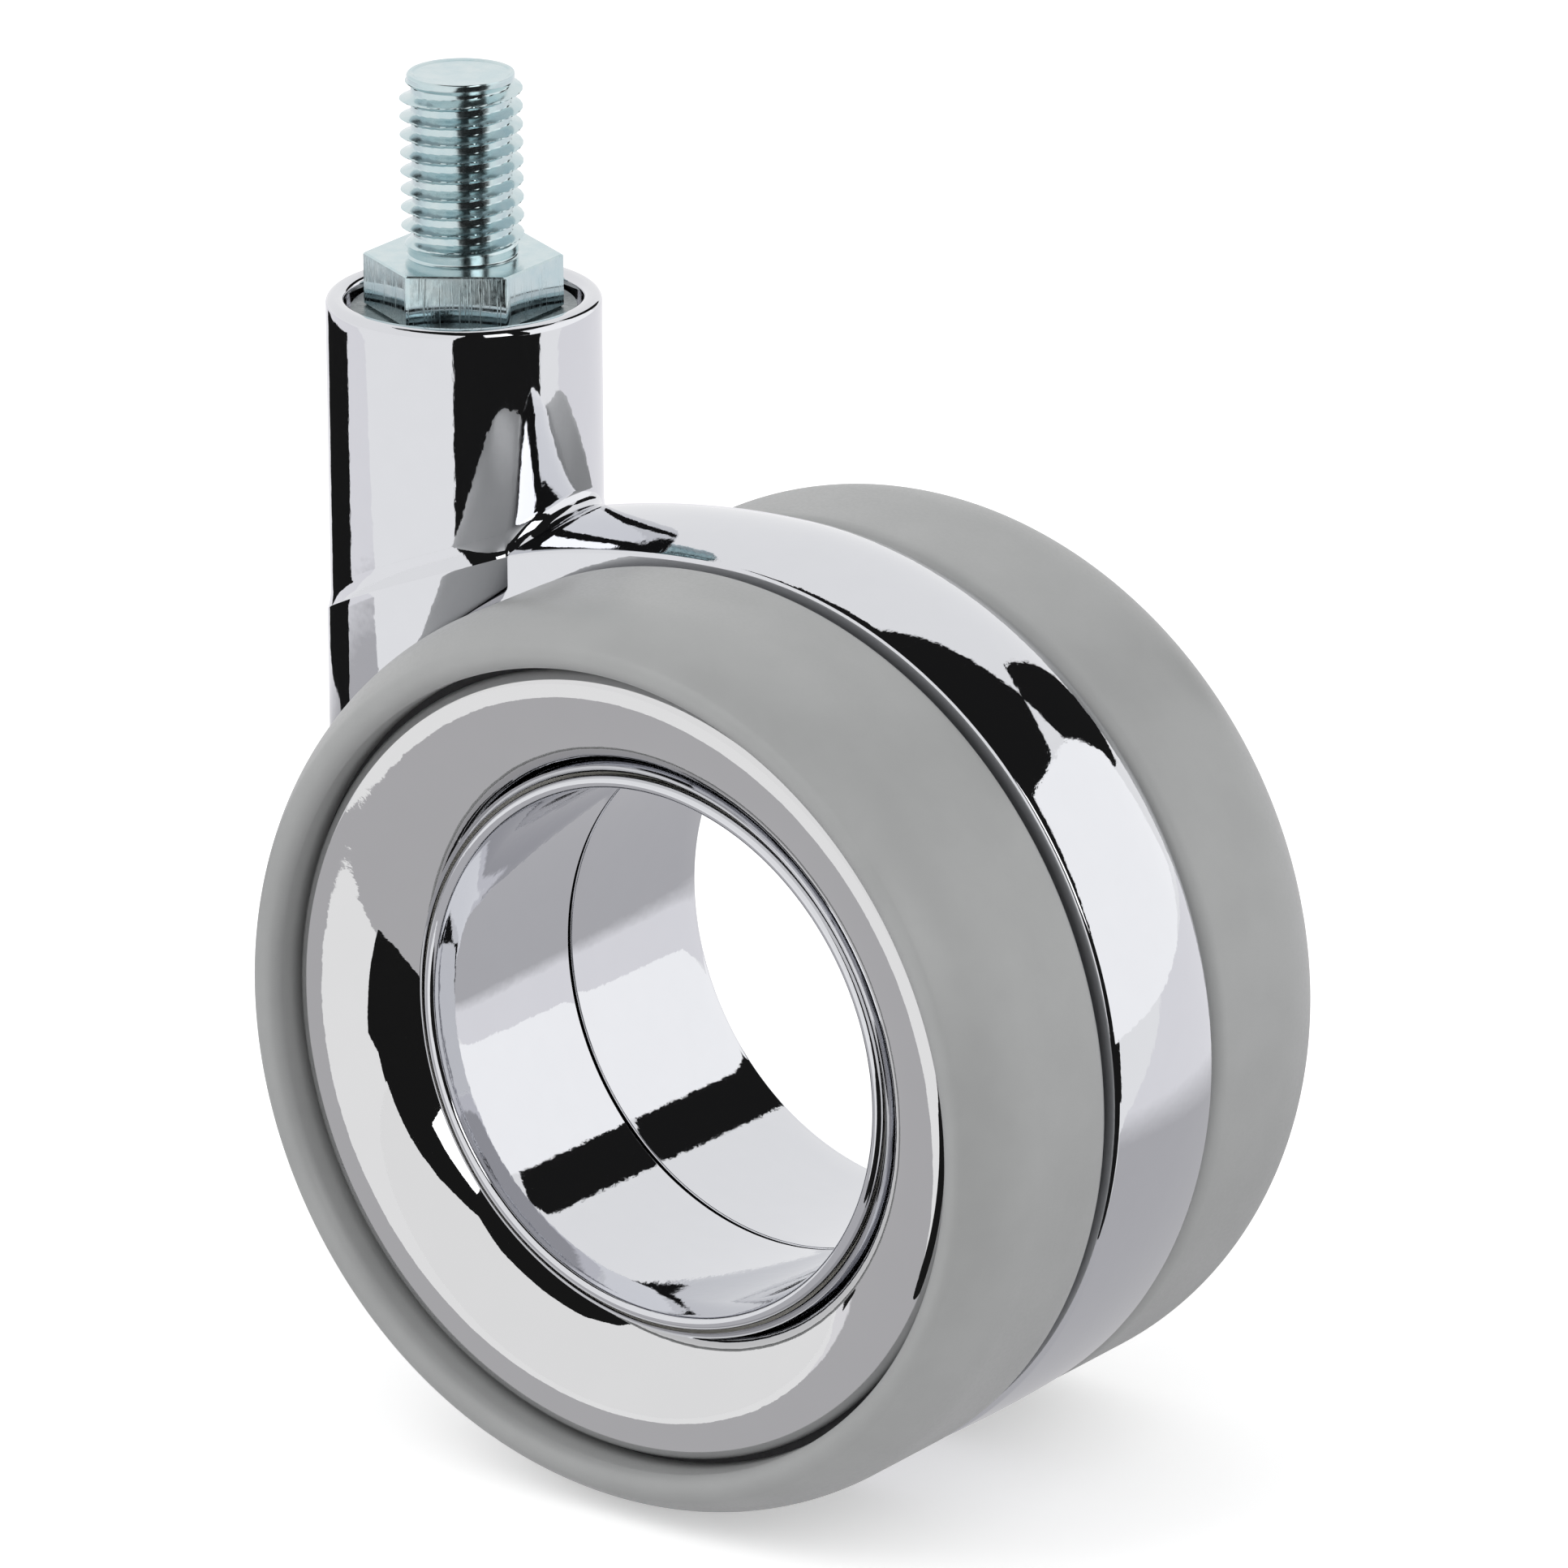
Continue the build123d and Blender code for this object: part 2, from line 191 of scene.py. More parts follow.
def ramp(material, source, stops):  # colour or grey levels by place: {position: colour}
    node = addNode(material, "ShaderNodeValToRGB", {}, {"Fac": source})
    points = node.color_ramp.elements
    while len(points) < len(stops):
        points.new(0.5)
    for point, (place, colour) in zip(points, sorted(stops.items())):
        point.position = place
        point.color = colour
    return node


def grey(level):
    return (level, level, level, 1)


# Levels of a noise, between 0 and 1, at which a tone or a roughness begins and is complete
plateSpans = {"tone": (0.3, 0.7), "wear": (0.4, 0.75)}
grainSpans = {"tone": (0.35, 0.65), "wear": (0.35, 0.7)}


def mirrorPlate(name, look):  # chromium plate: tone and bump from polishing waves and fine lines
    material, shader = newMaterial(name)
    space = placeSpace(material, perMetre((look["waveSize"],) * 3))
    waves = addNode(
        material, "ShaderNodeTexNoise", {"Scale": 1.0, "Detail": 2.0}, {"Vector": space.outputs["Vector"]},
    )
    lineSpace = placeSpace(material, perMetre(look["lineSize"]))
    lines = addNode(
        material, "ShaderNodeTexNoise", {"Scale": 1.0, "Detail": 4.0},
        {"Vector": lineSpace.outputs["Vector"]},
    )
    deep, full = plateSpans["tone"]
    tone = ramp(
        material, waves.outputs["Fac"], {deep: linear(look["deepColour"]), full: linear(look["colour"])},
    )
    smooth, rough = plateSpans["wear"]
    worn = ramp(
        material, lines.outputs["Fac"], {smooth: grey(look["roughness"]), rough: grey(look["lineRoughness"])},
    )
    waveBump = addNode(
        material, "ShaderNodeBump", {"Strength": 1.0, "Distance": look["waveDepth"] * mm},
        {"Height": waves.outputs["Fac"]},
    )
    lineBump = addNode(
        material, "ShaderNodeBump", {"Strength": 1.0, "Distance": look["lineDepth"] * mm},
        {"Height": lines.outputs["Fac"], "Normal": waveBump.outputs["Normal"]},
    )
    shader.inputs["Metallic"].default_value = 1.0
    material.node_tree.links.new(tone.outputs["Color"], shader.inputs["Base Color"])
    material.node_tree.links.new(worn.outputs["Color"], shader.inputs["Roughness"])
    material.node_tree.links.new(lineBump.outputs["Normal"], shader.inputs["Normal"])
    return material


# Bright chromium over polished zinc casting: a mirror a little darker than white, with faint polishing waves
chromeLook = {
    "colour": "#D8D9DD", "deepColour": "#D7D8DC", "roughness": 0.015, "lineRoughness": 0.04,
    "waveSize": 2.2, "waveDepth": 0.012, "lineSize": (0.45, 0.45, 2.4), "lineDepth": 0.0045,  # mm
}
chromePlate = mirrorPlate("brightChromePlate", chromeLook)

# Chromium over moulded plastic: the same mirror, smoother, with the long slow waves of the moulding
rimLook = {
    "colour": "#D9D9DA", "deepColour": "#D8D8D9", "roughness": 0.012, "lineRoughness": 0.03,
    "waveSize": 4.5, "waveDepth": 0.014, "lineSize": (1.1, 1.1, 1.1), "lineDepth": 0.0025,  # mm
}
chromedPlastic = mirrorPlate("chromedMouldedPlastic", rimLook)


def grainedFinish(name, look):  # cloudy colour and a fine bump, for moulded, plated and ground surfaces
    material, shader = newMaterial(name)
    space = placeSpace(material, perMetre(look["grainSize"]))
    grain = addNode(
        material, "ShaderNodeTexNoise", {"Scale": 1.0, "Detail": 3.0}, {"Vector": space.outputs["Vector"]},
    )
    cloudSpace = placeSpace(material, perMetre((look["cloudSize"],) * 3))
    clouds = addNode(
        material, "ShaderNodeTexNoise", {"Scale": 1.0, "Detail": 3.0},
        {"Vector": cloudSpace.outputs["Vector"]},
    )
    deep, full = grainSpans["tone"]
    tone = ramp(
        material, clouds.outputs["Fac"], {deep: linear(look["deepColour"]), full: linear(look["colour"])},
    )
    smooth, rough = grainSpans["wear"]
    low, high = look["roughness"]
    worn = ramp(material, grain.outputs["Fac"], {smooth: grey(low), rough: grey(high)})
    bump = addNode(
        material, "ShaderNodeBump", {"Strength": 1.0, "Distance": look["grainDepth"] * mm},
        {"Height": grain.outputs["Fac"]},
    )
    shader.inputs["Metallic"].default_value = look["metallic"]
    if look["metallic"] < 1:
        shader.inputs["IOR"].default_value = look["ior"]
    material.node_tree.links.new(tone.outputs["Color"], shader.inputs["Base Color"])
    material.node_tree.links.new(worn.outputs["Color"], shader.inputs["Roughness"])
    material.node_tree.links.new(bump.outputs["Normal"], shader.inputs["Normal"])
    return material


# Soft polyurethane tread, moulded: satin grey with a very fine grain
treadLook = {
    "colour": "#9FA0A0", "deepColour": "#9B9C9C", "roughness": (0.34, 0.44), "metallic": 0.0, "ior": 1.5,
    "grainSize": (0.3, 0.3, 0.3), "grainDepth": 0.004, "cloudSize": 6.0,  # mm
}
softTread = grainedFinish("softPolyurethaneTread", treadLook)

# Bright zinc plating with blue passivation over turned steel: shiny, cool, finely grained; drawn lines run
# along the hexagon's sides, and the rolled thread above them is a little duller
zincLook = {
    "colour": "#CAD8DA", "deepColour": "#BFD2D6", "roughness": (0.06, 0.13), "metallic": 1.0,
    "grainSize": (0.3, 0.3, 0.5), "grainDepth": 0.0003, "cloudSize": 1.6,  # mm
    "scratchSize": (0.13, 0.13, 3.5), "scratchDepth": 0.006, "hexagonEdge": 0.3,  # mm
    "scratchSpan": (0.57, 0.68), "scratchRoughness": 0.28, "threadRoughness": 0.08,
}
zincPlate = grainedFinish("blueZincPlate", zincLook)
shader = zincPlate.node_tree.nodes["Principled BSDF"]
grainRoughness = shader.inputs["Roughness"].links[0].from_socket
grainNormal = shader.inputs["Normal"].links[0].from_socket
space = placeSpace(zincPlate, perMetre(zincLook["scratchSize"]))
scratches = addNode(
    zincPlate, "ShaderNodeTexNoise", {"Scale": 1.0, "Detail": 3.0}, {"Vector": space.outputs["Vector"]},
)
coords = addNode(zincPlate, "ShaderNodeTexCoord")
height = addNode(zincPlate, "ShaderNodeSeparateXYZ", {}, {"Vector": coords.outputs["Object"]})
hexagonEdge = -zincLook["hexagonEdge"] * mm
onHexagon = addNode(
    zincPlate, "ShaderNodeMapRange", {"From Min": 0.0, "From Max": hexagonEdge},
    {"Value": height.outputs["Z"]},
)
low, high = zincLook["scratchSpan"]
marks = addNode(
    zincPlate, "ShaderNodeMapRange", {"From Min": low, "From Max": high}, {"Value": scratches.outputs["Fac"]},
)
marks = addNode(
    zincPlate, "ShaderNodeMath", {"operation": "MULTIPLY"},
    {0: marks.outputs["Result"], 1: onHexagon.outputs["Result"]},
)
rolled = addNode(
    zincPlate, "ShaderNodeMapRange",
    {"From Min": hexagonEdge, "From Max": 0.0, "To Max": zincLook["threadRoughness"]},
    {"Value": height.outputs["Z"]},
)
plain = addNode(
    zincPlate, "ShaderNodeMath", {"operation": "ADD"}, {0: rolled.outputs["Result"], 1: grainRoughness},
)
rough = addNode(
    zincPlate, "ShaderNodeMath", {"operation": "MULTIPLY_ADD", 1: zincLook["scratchRoughness"]},
    {0: marks.outputs["Value"], 2: plain.outputs["Value"]},
)
bump = addNode(
    zincPlate, "ShaderNodeBump", {"Strength": 1.0, "Distance": zincLook["scratchDepth"] * mm},
    {"Height": marks.outputs["Value"], "Normal": grainNormal},
)
zincPlate.node_tree.links.new(rough.outputs["Value"], shader.inputs["Roughness"])
zincPlate.node_tree.links.new(bump.outputs["Normal"], shader.inputs["Normal"])

# Zinc plating darkened with painted shade, for the disc down in the column's mouth, where the recess lies in
# shade; rougher than the bright plate
mouthShadeLook = {
    "colour": "#858C8D", "deepColour": "#6E7678", "roughness": (0.25, 0.4), "metallic": 1.0,
    "grainSize": (0.4, 0.4, 0.4), "grainDepth": 0.003, "cloudSize": 1.8,  # mm
}
shadedMouthZinc = grainedFinish("zincWithPaintedMouthShade", mouthShadeLook)

# Bearing steel, ground: fine lines round the axis
steelLook = {
    "colour": "#BDBEC1", "deepColour": "#B2B3B7", "roughness": (0.16, 0.3), "metallic": 1.0,
    "grainSize": (2.0, 2.0, 0.12), "grainDepth": 0.0012, "cloudSize": 3.0,  # mm
}
groundSteel = grainedFinish("groundBearingSteel", steelLook)

# Acetal for washers, glide rings and bush, moulded: waxy off-white, half matt
acetalLook = {
    "colour": "#DEDCD4", "deepColour": "#D5D2C8", "roughness": (0.36, 0.46), "metallic": 0.0, "ior": 1.48,
    "grainSize": (0.5, 0.5, 0.5), "grainDepth": 0.004, "cloudSize": 5.0,  # mm
}
acetal = grainedFinish("mouldedAcetal", acetalLook)

# Glass-filled nylon of the wheel bodies, moulded: nearly black, dull, speckled by the fibres
nylonLook = {
    "colour": "#2B2B2E", "deepColour": "#222225", "roughness": (0.45, 0.6), "metallic": 0.0, "ior": 1.53,
    "grainSize": (0.35, 0.35, 0.35), "grainDepth": 0.008, "cloudSize": 1.5,  # mm
}
filledNylon = grainedFinish("glassFilledNylon", nylonLook)

print("materials made")

hands = ((-1, "left"), (1, "right"))  # the side along the wheels' axis, and its name

# Tyre: flat tread, round shoulder, and a lip that curls in over the dish's edge
tyreShape = {
    "inner": 7.2, "innerRound": 1.5, "treadWidth": 9.7, "shoulderRadius": 10.6, "shoulderTurn": 38.0,
    "seat": 33.0, "steps": 384,
}


def tyreProfile(s):
    turn = s["shoulderTurn"]
    treadEnd = s["inner"] + s["treadWidth"]
    shoulder = arc((wheelR - s["shoulderRadius"], treadEnd), s["shoulderRadius"], 0, turn, 25)
    lipR = (shoulder[-1][0] - s["seat"]) / (1 + np.cos(turn * rad))
    lipY = shoulder[-1][1] - lipR * np.sin(turn * rad)
    return joined(
        run((s["seat"], lipY), (s["seat"], s["inner"]), 6),
        run((s["seat"], s["inner"]), (wheelR - s["innerRound"], s["inner"]), 6),
        arc((wheelR - s["innerRound"], s["inner"] + s["innerRound"]), s["innerRound"], -90, 0, 9),
        run((wheelR, s["inner"] + s["innerRound"]), (wheelR, treadEnd), 8),
        shoulder,
        arc((s["seat"] + lipR, lipY), lipR, turn, 180, 29),
    )


for side, hand in hands:
    grid = aroundAxle(tyreProfile(tyreShape), side, tyreShape["steps"])
    addPiece(
        f"tyreTread_{hand}", [(grid, True, True)], softTread, f"wheel_{hand}", [f"tyre_{hand}"],
    )

# Dish: rounded outer edge, then a round bulge that falls away towards the bore
dishShape = {
    "outer": 32.4, "inner": 23.1, "crest": 21.7, "edgeRadius": 1.2, "flange": 19.8, "flangeWidth": 1.8,
    "innerPlace": 17.15, "foot": 16.1, "footWidth": 2.0, "steps": 384,
}


def dishProfile(s):
    edge = arc((s["outer"] - s["edgeRadius"], s["crest"] - s["edgeRadius"]), s["edgeRadius"], 0, 90, 17)
    bulge = tangentArc(edge[-1], (s["inner"], s["innerPlace"]), (-1, 0), 57)
    return joined(
        edge,
        bulge,
        [(s["inner"], s["foot"]), (s["inner"] + s["footWidth"], s["foot"])],
        [(s["outer"] - s["flangeWidth"], s["flange"]), (s["outer"], s["flange"])],
        [edge[0]],
    )[:-1]


for side, hand in hands:
    grid = aroundAxle(dishProfile(dishShape), side, dishShape["steps"])
    addPiece(
        f"dishRim_{hand}", [(grid, True, True)], chromedPlastic, f"wheel_{hand}",
        [f"rim_dish_{hand}"],
    )

# Sleeve: lining of the bore with a flare and a rolled lip
sleeveShape = {
    "bore": 21.4, "outer": 22.6, "seamHalf": 0.19, "seamRadius": 22.3, "seamRound": 0.15,
    "flareStart": 14.2, "lipRadius": 0.55, "lipInner": 21.75, "lipTop": 17.5, "steps": 384,
}


def sleeveProfile(s):
    lipCentre = (s["lipInner"] + s["lipRadius"], s["lipTop"] - s["lipRadius"])
    flare = tangentArc((s["bore"], s["flareStart"]), (s["lipInner"], lipCentre[1]), (0, 1), 13)
    edge = s["seamHalf"] + s["seamRound"]  # where the bore's wall begins, beside the open seam
    return joined(
        [(s["outer"], 0), (s["seamRadius"], 0), (s["seamRadius"], s["seamHalf"])],
        arc((s["bore"] + s["seamRound"], edge), s["seamRound"], 270, 180, 9),
        run((s["bore"], edge), (s["bore"], s["flareStart"]), 13),
        flare,
        arc(lipCentre, s["lipRadius"], 180, 0, 25),
        [(s["outer"], lipCentre[1])],
    )


for side, hand in hands:
    grid = aroundAxle(sleeveProfile(sleeveShape), side, sleeveShape["steps"])
    addPiece(
        f"boreLining_{hand}", [(grid, True, True)], chromePlate, "swivel", [f"bore_sleeve_{hand}"],
    )

print("wheels made")

# Stem: right-hand thread M10 x 1.5, hexagon 14 mm across flats, plain shank
stemShape = {
    "radius": 4.95, "pitch": 1.5, "depth": 0.93, "length": 15.0, "crestPlace": 2.407, "crestAngle": 217.65,
    "crestWidth": 0.6, "crestRound": 0.06, "crestPower": 1.5, "crestStart": 0.3, "runOut": 1.7,
    "neck": 4.42, "neckStart": 0.15, "neckEnd": 0.9, "neckFoot": 4.6,
    "tipRadius": 4.34, "tipWidth": 0.55, "tipCone": 1.3, "tipRise": 0.35, "tipBelow": 0.04, "tipEdge": 0.15,
    "tipBevel": 0.16,
    "tipRings": ((0.94, 0.0), (0.9, -0.1), (0.6, -0.14), (0.0, -0.16)),  # shares of the radius, and drops
    "hexFlats": 14.0, "hexHeight": 4.4, "hexCorner": 34.0, "hexBevel": 0.16, "hexBevelDrop": 0.12,
    "hexFoot": 0.2, "cornerRound": 0.25, "shank": 4.0, "shankEnd": -28.0, "shankBevel": 0.5,
    "stepsAround": 300, "stepsPerPitch": 24,
}


def threadGrid(s):
    # r = root + (crest - root) * wave, where the wave falls from 1 on the helix, which climbs one pitch a
    # turn, to 0 in a wide flat valley; root and crest meet at the neck and at the rim of the tip
    a = np.linspace(0, 2 * np.pi, s["stepsAround"], endpoint=False)[:, None]
    z = np.linspace(0, s["length"], int(s["length"] / s["pitch"] * s["stepsPerPitch"]) + 1)[None, :]
    phase = (z - s["crestPlace"]) / s["pitch"] - (a / rad - s["crestAngle"]) / 360
    away = np.abs(phase - np.round(phase)) * 2
    away = np.sqrt(away**2 + s["crestRound"] ** 2) - s["crestRound"]
    wave = np.clip(1 - away / s["crestWidth"], 0, 1) ** s["crestPower"]
    low, tip, end = s["radius"] - s["depth"], s["length"] - s["tipWidth"], s["length"]
    rootLine = [  # places along the axis, and radii
        (0, s["neckFoot"]), (s["neckStart"], s["neck"]), (s["neckEnd"], s["neck"]), (s["runOut"], low),
        (tip - s["tipRise"], low), (tip, s["tipRadius"] - s["tipBelow"]),
        (end - s["tipEdge"], s["tipRadius"]), (end, s["tipRadius"] - s["tipBevel"]),
    ]
    root = np.interp(z, *zip(*rootLine))
    crest = np.interp(z, [s["crestStart"], s["runOut"]], [s["neck"], s["radius"]])
    crest = np.minimum(crest, s["tipRadius"] + s["tipCone"] * np.clip(tip - z, 0, None))
    r = root + np.clip(crest - root, 0, None) * wave
    return np.stack([r * np.cos(a), r * np.sin(a), z + 0 * a], -1)


def hexRadius(a, s, inset):  # distance from the axis to the flats, with the corners rounded a little
    turn = (a / rad - s["hexCorner"]) % 60 - 30
    flat = s["hexFlats"] / 2 - inset
    corner = flat / np.cos(30 * rad) - s["cornerRound"] * (1 / np.cos(30 * rad) - 1)
    return np.minimum(flat / np.cos(turn * rad), corner + 0 * a)


def hexGrid(s):
    a = np.linspace(0, 2 * np.pi, s["stepsAround"], endpoint=False)[:, None]
    foot, shank, end = -s["hexHeight"], s["shank"], s["shankEnd"]
    line = [(s["neckFoot"], 0)]
    for inset, z in (
        (s["hexBevel"], 0), (0.0, -s["hexBevelDrop"]), (0.0, foot + s["hexFoot"]), (s["hexFoot"], foot),
    ):
        line.append((hexRadius(a, s, inset), z))
    line += [(shank, foot), (shank, end + s["shankBevel"]), (shank - s["shankBevel"], end), (0, end)]
    columns = [np.stack([r * np.cos(a), r * np.sin(a), z + 0 * a], -1) for r, z in line]
    return np.concatenate(columns, 1)[:, ::-1]


thread = threadGrid(stemShape)
rim = thread[:, -1:]
tipRings = [rim * [share, share, 1] + [0, 0, drop] for share, drop in stemShape["tipRings"]]
tipGrid = np.concatenate([rim, *tipRings], 1)  # the end face is a little hollow inside its rim
addPiece(
    "threadedStem", [(thread, True, False), (tipGrid, True, False), (hexGrid(stemShape), True, False)],
    zincPlate, "stem", ["threaded_stem"], sharp=25,
)

print("stem made")

# Housing: tube, column with its pockets for the wheels, and the crowned ring between them
housingShape = {
    "tube": 11.1, "tubeTop": -3.3, "mouth": 9.5, "mouthDepth": 9.0, "rimRound": 0.7,
    "column": 11.4, "ledgeRound": 0.15, "wingDrop": 10.7,
    "ringHalf": 6.55, "ringRound": 0.45, "crown": 1.95, "crownShift": 1.0, "topArc": 80.0,
    "footClear": 1.2, "footShift": 3.7, "bore": 22.6,
    "junction": 1.2, "coveHeight": 1.9, "blendFrom": 0.35, "pocketGap": 0.9, "pocketRound": 0.7,
    "pocketStart": 6.1, "pocketEdge": 6.4, "ledgeFan": 8.0, "tubeLap": 0.1, "tubeSink": 1.0,
    "tuck": 0.05, "tuckStart": -5.9, "tuckRun": 0.5, "columnPlay": 0.03, "sideSteps": 14,
}
hs = housingShape  # short, for the formulas below
footZ = axleZ - wheelR + hs["footClear"]
footX = axleX + hs["footShift"]
heelR = footX + hs["column"]
wingZ = axleZ - hs["wingDrop"]
topArcZ = axleZ + wheelR - hs["topArc"]
ballR = hs["column"] - hs["pocketRound"]
ballTurn = wheelR + hs["pocketGap"] + hs["pocketRound"]


def ringLine(centreZ, radius):
    # the ring from the side, with its normals: back line, top, ring, foot and heel arcs
    footFromCentre = footZ - centreZ
    footR = (radius**2 - hs["footShift"]**2 - footFromCentre**2) / (2 * (footFromCentre + radius))
    startTurn = np.arctan2(footZ + footR - centreZ, hs["footShift"]) / rad
    topZ = centreZ + radius - hs["topArc"]
    backTurn = np.arcsin((axleX + hs["column"]) / hs["topArc"]) / rad
    backTop = topZ + hs["topArc"] * np.cos(backTurn * rad)
    pieces = [
        run((-hs["column"], footZ + heelR), (-hs["column"], backTop), 9),
        arc((axleX, topZ), hs["topArc"], 90 + backTurn, 90, 121),
        arc((axleX, centreZ), radius, 90, startTurn, 241),
        arc((footX, footZ + footR), footR, startTurn, -90, 17),
        arc((footX, footZ + heelR), heelR, -90, -180, 121),
    ]
    centres = [(axleX, topZ), (axleX, centreZ), (footX, footZ + footR), (footX, footZ + heelR)]
    normals = [np.tile([-1.0, 0.0], (len(pieces[0]), 1))]
    for piece, centre in zip(pieces[1:], centres):
        away = piece - centre
        normals.append(away / np.hypot(*away.T)[:, None])
    line = np.concatenate([piece[:-1] for piece in pieces])
    return line, np.concatenate([normal[:-1] for normal in normals])


def ringGrid():
    # across the ring the height over its edge line is crown * (1 - (y / half)^2), rounded into flat sides;
    # behind the column's width the section narrows to the column's circle
    edge, normal = ringLine(axleZ, wheelR)
    crown, _ = ringLine(axleZ + hs["crownShift"], wheelR + hs["crown"] - hs["crownShift"])
    h, rho = hs["ringHalf"], hs["ringRound"]
    shift = crown - edge
    rise = np.sum(shift * normal, 1)[:, None]
    slip = np.sum(shift * normal[:, ::-1] * [-1, 1], 1)[:, None]
    tangentY = (h - rho) + 0 * rise
    for _ in range(6):  # where the edge's round leaves the crown depends on the slope there
        lean = np.arctan(2 * rise * tangentY / h**2)
        tangentY = h - rho + rho * np.sin(lean)
    roundZ = (1 - (tangentY / h) ** 2) * rise - rho * np.cos(lean)
    y = np.linspace(-1, 1, 33)[None, :] * tangentY
    height = (1 - (y / h) ** 2) * rise
    beta = lean + (np.pi / 2 - lean) * np.linspace(0, 1, 9)[None, 1:]
    roundY, roundH = h - rho + rho * np.sin(beta), roundZ + rho * np.cos(beta)
    y = np.concatenate([-roundY[:, ::-1], y, roundY], 1)
    height = np.concatenate([roundH[:, ::-1], height, roundH], 1)
    slide = (1 - np.clip(np.abs(y) / h, 0, 1) ** 2) * slip
    tangent = np.stack([-normal[:, 1], normal[:, 0]], 1)
    cap = edge[:, None] + height[..., None] * normal[:, None] + slide[..., None] * tangent[:, None]
    tuck = hs["tuck"] * np.clip((hs["tuckStart"] - edge[:, 0]) / hs["tuckRun"], 0, 1)
    cap = cap - tuck[:, None, None] * normal[:, None]
    away = edge - [axleX, axleZ]
    inner = np.array([axleX, axleZ]) + hs["bore"] * away / np.hypot(*away.T)[:, None]
    w = np.linspace(0, 1, hs["sideSteps"] + 1)[None, 1:, None]
    sideIn = cap[:, -1:] * (1 - w) + inner[:, None] * w
    sideOut = (cap[:, :1] * (1 - w) + inner[:, None] * w)[:, ::-1]
    flat = np.concatenate([sideOut, cap, sideIn], 1)
    ones = np.ones((len(edge), hs["sideSteps"]))
    y = np.concatenate([-h * ones, y, h * ones], 1)
    limit = np.sqrt(np.clip((hs["column"] - hs["columnPlay"]) ** 2 - flat[..., 0] ** 2, 0, None))
    y = np.where(flat[..., 0] < 0, np.sign(y) * np.minimum(np.abs(y), limit), y)
    return np.stack([flat[..., 0], y, flat[..., 1]], -1)


def ledgeHeight(x):  # the shoulder line, an arc seen from the side
    return topArcZ + np.sqrt(hs["topArc"] ** 2 - (x - axleX) ** 2)


def onColumn(phi, r, z):  # phi runs from the front to the back round the left side
    return np.stack([r * np.cos(phi), -r * np.sin(phi), z + 0 * phi], -1)


def ballArc(centre, first, second, radius, steps):  # arcs round the centre from one direction to another
    w = np.linspace(0, 1, steps)[None, :, None]
    between = np.arccos(np.clip(np.sum(first * second, -1), -1, 1))[:, None, None]
    mix = np.sin((1 - w) * between) * first[:, None] + np.sin(w * between) * second[:, None]
    return centre[:, None] + radius * (mix / np.sin(between))


